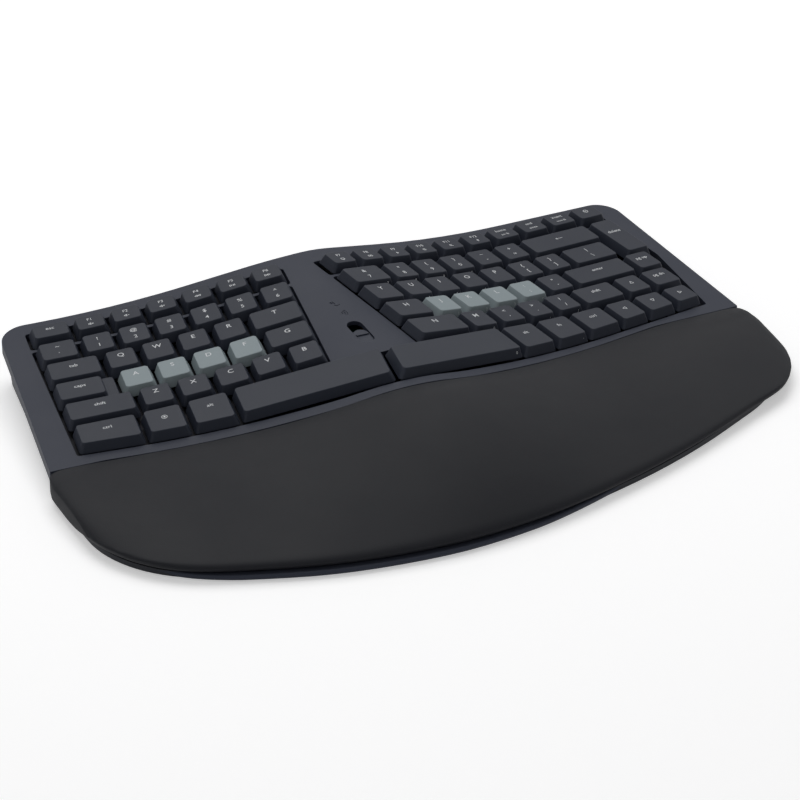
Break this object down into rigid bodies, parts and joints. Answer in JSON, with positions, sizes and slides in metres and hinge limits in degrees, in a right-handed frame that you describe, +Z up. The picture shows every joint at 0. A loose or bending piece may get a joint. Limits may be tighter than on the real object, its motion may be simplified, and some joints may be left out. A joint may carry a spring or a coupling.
{
  "type": "ergonomic keyboard",
  "caption": "Ergonomic split-field keyboard with a raised middle, splayed key halves, a mode slider and a deep padded palm rest",
  "frame": {"origin": "on the desk, under the middle of the outline", "axes": "+X to the typist's right along the longest side, +Y away from the typist, +Z up"},
  "size_m": [0.4034, 0.2719, 0.0509],
  "materials": {
    "deck_plastic": "fine satin grain, blue black",
    "key_plastic": "satin with small white legends",
    "accent_key_plastic": "satin light grey green with white legends",
    "cushion_cover": "soft matte cover over foam",
    "case_plastic": "matte moulded",
    "slider_plastic": "satin",
    "foot_plastic": "matte moulded",
    "switch_plastic": "moulded",
    "foot_rubber": "matte",
    "plate_steel": "stamped sheet",
    "spring_steel": "bright wire",
    "screw_steel": "zinc plated",
    "socket_steel": "plated shell",
    "board_laminate": "green solder resist",
    "ribbon_film": "flat flexible film",
    "battery_wrap": "shrink wrapped cells"
  },
  "bodies": {
    "case": {"battery_pack": "battery_wrap", "board_screws": "screw_steel", "bottom_case": "case_plastic", "cable_socket": "socket_steel", "case_screws": "screw_steel", "controller_board": "board_laminate", "foot_hinge_pins": "screw_steel", "left_circuit_board": "board_laminate", "left_key_plate": "plate_steel", "left_switch_housings": "switch_plastic", "mode_switch_body": "switch_plastic", "palm_cushion": "cushion_cover", "palm_support": "case_plastic", "ribbon_cables": "ribbon_film", "right_circuit_board": "board_laminate", "right_key_plate": "plate_steel", "right_switch_housings": "switch_plastic", "rubber_feet": "foot_rubber", "stabiliser_wires": "spring_steel", "switch_springs": "spring_steel", "top_deck": "deck_plastic"},
    "function_keys_f1_f6": {"function_keys_f1_f6": "key_plastic"},
    "escape_key": {"escape_key": "key_plastic"},
    "number_keys_1_6": {"number_keys_1_6": "key_plastic"},
    "tilde_key": {"tilde_key": "key_plastic"},
    "t_and_g_keys": {"t_and_g_keys": "key_plastic"},
    "letter_keys_q_r": {"letter_keys_q_r": "key_plastic"},
    "tab_key": {"tab_key": "key_plastic"},
    "home_keys_a_f": {"home_keys_a_f": "accent_key_plastic"},
    "caps_lock_key": {"caps_lock_key": "key_plastic"},
    "letter_keys_z_b": {"letter_keys_z_b": "key_plastic"},
    "left_shift_key": {"left_shift_key": "key_plastic"},
    "left_space_key": {"left_space_key": "key_plastic"},
    "left_alt_key": {"left_alt_key": "key_plastic"},
    "system_key": {"system_key": "key_plastic"},
    "left_control_key": {"left_control_key": "key_plastic"},
    "function_keys_f7_f12": {"function_keys_f7_f12": "key_plastic"},
    "editing_keys": {"editing_keys": "key_plastic"},
    "number_keys_7_equals": {"number_keys_7_equals": "key_plastic"},
    "backspace_key": {"backspace_key": "key_plastic"},
    "y_key": {"y_key": "key_plastic"},
    "letter_keys_u_bracket": {"letter_keys_u_bracket": "key_plastic"},
    "backslash_key": {"backslash_key": "key_plastic"},
    "h_key": {"h_key": "key_plastic"},
    "home_keys_j_semicolon": {"home_keys_j_semicolon": "accent_key_plastic"},
    "quote_key": {"quote_key": "key_plastic"},
    "enter_key": {"enter_key": "key_plastic"},
    "page_keys": {"page_keys": "key_plastic"},
    "n_key": {"n_key": "key_plastic"},
    "letter_keys_m_slash": {"letter_keys_m_slash": "key_plastic"},
    "right_shift_key": {"right_shift_key": "key_plastic"},
    "arrow_keys": {"arrow_keys": "key_plastic"},
    "right_space_key": {"right_space_key": "key_plastic"},
    "right_alt_key": {"right_alt_key": "key_plastic"},
    "function_shift_key": {"function_shift_key": "key_plastic"},
    "right_control_key": {"right_control_key": "key_plastic"},
    "delete_key": {"delete_key": "key_plastic"},
    "mode_slider": {"mode_slider": "slider_plastic"},
    "left_tilt_foot": {"left_tilt_foot": "foot_plastic"},
    "right_tilt_foot": {"right_tilt_foot": "foot_plastic"}
  },
  "joints": [
    {"name": "function_f1_f6_travel", "type": "slide", "parent": "case", "child": "function_keys_f1_f6", "axis": [0.1661, 0.0825, -0.9827], "range_m": [0, 0.0022], "stiffness_N_per_m": 600, "springref_m": -0.003},
    {"name": "escape_key_travel", "type": "slide", "parent": "case", "child": "escape_key", "axis": [0.0906, 0.0833, -0.9924], "range_m": [0, 0.0022], "stiffness_N_per_m": 100, "springref_m": -0.003},
    {"name": "number_1_6_travel", "type": "slide", "parent": "case", "child": "number_keys_1_6", "axis": [0.1635, 0.0826, -0.9831], "range_m": [0, 0.0022], "stiffness_N_per_m": 600, "springref_m": -0.003},
    {"name": "tilde_key_travel", "type": "slide", "parent": "case", "child": "tilde_key", "axis": [0.0877, 0.0834, -0.9927], "range_m": [0, 0.0022], "stiffness_N_per_m": 100, "springref_m": -0.003},
    {"name": "t_and_g_travel", "type": "slide", "parent": "case", "child": "t_and_g_keys", "axis": [0.2079, 0.0818, -0.9747], "range_m": [0, 0.0022], "stiffness_N_per_m": 200, "springref_m": -0.003},
    {"name": "letter_q_r_travel", "type": "slide", "parent": "case", "child": "letter_keys_q_r", "axis": [0.1649, 0.0825, -0.9829], "range_m": [0, 0.0022], "stiffness_N_per_m": 400, "springref_m": -0.003},
    {"name": "tab_key_travel", "type": "slide", "parent": "case", "child": "tab_key", "axis": [0.0899, 0.0833, -0.9925], "range_m": [0, 0.0022], "stiffness_N_per_m": 100, "springref_m": -0.003},
    {"name": "home_a_f_travel", "type": "slide", "parent": "case", "child": "home_keys_a_f", "axis": [0.1651, 0.0825, -0.9828], "range_m": [0, 0.0022], "stiffness_N_per_m": 400, "springref_m": -0.003},
    {"name": "caps_lock_key_travel", "type": "slide", "parent": "case", "child": "caps_lock_key", "axis": [0.0895, 0.0833, -0.9925], "range_m": [0, 0.0022], "stiffness_N_per_m": 100, "springref_m": -0.003},
    {"name": "letter_z_b_travel", "type": "slide", "parent": "case", "child": "letter_keys_z_b", "axis": [0.1692, 0.0825, -0.9821], "range_m": [0, 0.0022], "stiffness_N_per_m": 500, "springref_m": -0.003},
    {"name": "left_shift_key_travel", "type": "slide", "parent": "case", "child": "left_shift_key", "axis": [0.0904, 0.0833, -0.9924], "range_m": [0, 0.0022], "stiffness_N_per_m": 100, "springref_m": -0.003},
    {"name": "left_space_key_travel", "type": "slide", "parent": "case", "child": "left_space_key", "axis": [0.1783, 0.0823, -0.9805], "range_m": [0, 0.0022], "stiffness_N_per_m": 100, "springref_m": -0.003},
    {"name": "left_alt_key_travel", "type": "slide", "parent": "case", "child": "left_alt_key", "axis": [0.1549, 0.0827, -0.9845], "range_m": [0, 0.0022], "stiffness_N_per_m": 100, "springref_m": -0.003},
    {"name": "system_key_travel", "type": "slide", "parent": "case", "child": "system_key", "axis": [0.1191, 0.0831, -0.9894], "range_m": [0, 0.0022], "stiffness_N_per_m": 100, "springref_m": -0.003},
    {"name": "left_control_key_travel", "type": "slide", "parent": "case", "child": "left_control_key", "axis": [0.0868, 0.0834, -0.9927], "range_m": [0, 0.0022], "stiffness_N_per_m": 100, "springref_m": -0.003},
    {"name": "function_f7_f12_travel", "type": "slide", "parent": "case", "child": "function_keys_f7_f12", "axis": [-0.167, 0.0825, -0.9825], "range_m": [0, 0.0022], "stiffness_N_per_m": 600, "springref_m": -0.003},
    {"name": "editing_travel", "type": "slide", "parent": "case", "child": "editing_keys", "axis": [-0.0886, 0.0833, -0.9926], "range_m": [0, 0.0022], "stiffness_N_per_m": 400, "springref_m": -0.003},
    {"name": "number_7_equals_travel", "type": "slide", "parent": "case", "child": "number_keys_7_equals", "axis": [-0.1563, 0.0826, -0.9842], "range_m": [0, 0.0022], "stiffness_N_per_m": 600, "springref_m": -0.003},
    {"name": "backspace_key_travel", "type": "slide", "parent": "case", "child": "backspace_key", "axis": [-0.0838, 0.0834, -0.993], "range_m": [0, 0.0022], "stiffness_N_per_m": 100, "springref_m": -0.003},
    {"name": "y_key_travel", "type": "slide", "parent": "case", "child": "y_key", "axis": [-0.205, 0.0819, -0.9753], "range_m": [0, 0.0022], "stiffness_N_per_m": 100, "springref_m": -0.003},
    {"name": "letter_u_bracket_travel", "type": "slide", "parent": "case", "child": "letter_keys_u_bracket", "axis": [-0.1481, 0.0828, -0.9855], "range_m": [0, 0.0022], "stiffness_N_per_m": 600, "springref_m": -0.003},
    {"name": "backslash_key_travel", "type": "slide", "parent": "case", "child": "backslash_key", "axis": [-0.0837, 0.0834, -0.993], "range_m": [0, 0.0022], "stiffness_N_per_m": 100, "springref_m": -0.003},
    {"name": "h_key_travel", "type": "slide", "parent": "case", "child": "h_key", "axis": [-0.2104, 0.0818, -0.9742], "range_m": [0, 0.0022], "stiffness_N_per_m": 100, "springref_m": -0.003},
    {"name": "home_j_semicolon_travel", "type": "slide", "parent": "case", "child": "home_keys_j_semicolon", "axis": [-0.1644, 0.0825, -0.9829], "range_m": [0, 0.0022], "stiffness_N_per_m": 400, "springref_m": -0.003},
    {"name": "quote_key_travel", "type": "slide", "parent": "case", "child": "quote_key", "axis": [-0.0931, 0.0833, -0.9922], "range_m": [0, 0.0022], "stiffness_N_per_m": 100, "springref_m": -0.003},
    {"name": "enter_key_travel", "type": "slide", "parent": "case", "child": "enter_key", "axis": [-0.0837, 0.0834, -0.993], "range_m": [0, 0.0022], "stiffness_N_per_m": 100, "springref_m": -0.003},
    {"name": "page_travel", "type": "slide", "parent": "case", "child": "page_keys", "axis": [-0.0837, 0.0834, -0.993], "range_m": [0, 0.0022], "stiffness_N_per_m": 200, "springref_m": -0.003},
    {"name": "n_key_travel", "type": "slide", "parent": "case", "child": "n_key", "axis": [-0.211, 0.0818, -0.9741], "range_m": [0, 0.0022], "stiffness_N_per_m": 100, "springref_m": -0.003},
    {"name": "letter_m_slash_travel", "type": "slide", "parent": "case", "child": "letter_keys_m_slash", "axis": [-0.147, 0.0828, -0.9857], "range_m": [0, 0.0022], "stiffness_N_per_m": 400, "springref_m": -0.003},
    {"name": "right_shift_key_travel", "type": "slide", "parent": "case", "child": "right_shift_key", "axis": [-0.0839, 0.0834, -0.993], "range_m": [0, 0.0022], "stiffness_N_per_m": 100, "springref_m": -0.003},
    {"name": "arrow_travel", "type": "slide", "parent": "case", "child": "arrow_keys", "axis": [-0.0837, 0.0834, -0.993], "range_m": [0, 0.0022], "stiffness_N_per_m": 400, "springref_m": -0.003},
    {"name": "right_space_key_travel", "type": "slide", "parent": "case", "child": "right_space_key", "axis": [-0.1679, 0.0825, -0.9824], "range_m": [0, 0.0022], "stiffness_N_per_m": 100, "springref_m": -0.003},
    {"name": "right_alt_key_travel", "type": "slide", "parent": "case", "child": "right_alt_key", "axis": [-0.1614, 0.0826, -0.9834], "range_m": [0, 0.0022], "stiffness_N_per_m": 100, "springref_m": -0.003},
    {"name": "function_shift_key_travel", "type": "slide", "parent": "case", "child": "function_shift_key", "axis": [-0.1258, 0.083, -0.9886], "range_m": [0, 0.0022], "stiffness_N_per_m": 100, "springref_m": -0.003},
    {"name": "right_control_key_travel", "type": "slide", "parent": "case", "child": "right_control_key", "axis": [-0.0921, 0.0833, -0.9923], "range_m": [0, 0.0022], "stiffness_N_per_m": 100, "springref_m": -0.003},
    {"name": "delete_key_travel", "type": "slide", "parent": "case", "child": "delete_key", "axis": [-0.0837, 0.0834, -0.993], "range_m": [0, 0.0022], "stiffness_N_per_m": 100, "springref_m": -0.003},
    {"name": "mode_slide", "type": "slide", "parent": "case", "child": "mode_slider", "axis": [0, 0.9965, 0.0837], "range_m": [0, 0.0066]},
    {"name": "left_tilt_hinge", "type": "hinge", "parent": "case", "child": "left_tilt_foot", "pos_m": [-0.12615, -0.09609, 0.0029], "axis": [-1, 0, 0], "range_deg": [0, 85]},
    {"name": "right_tilt_hinge", "type": "hinge", "parent": "case", "child": "right_tilt_foot", "pos_m": [0.10885, -0.07409, 0.0029], "axis": [-1, 0, 0], "range_deg": [0, 85]}
  ]
}
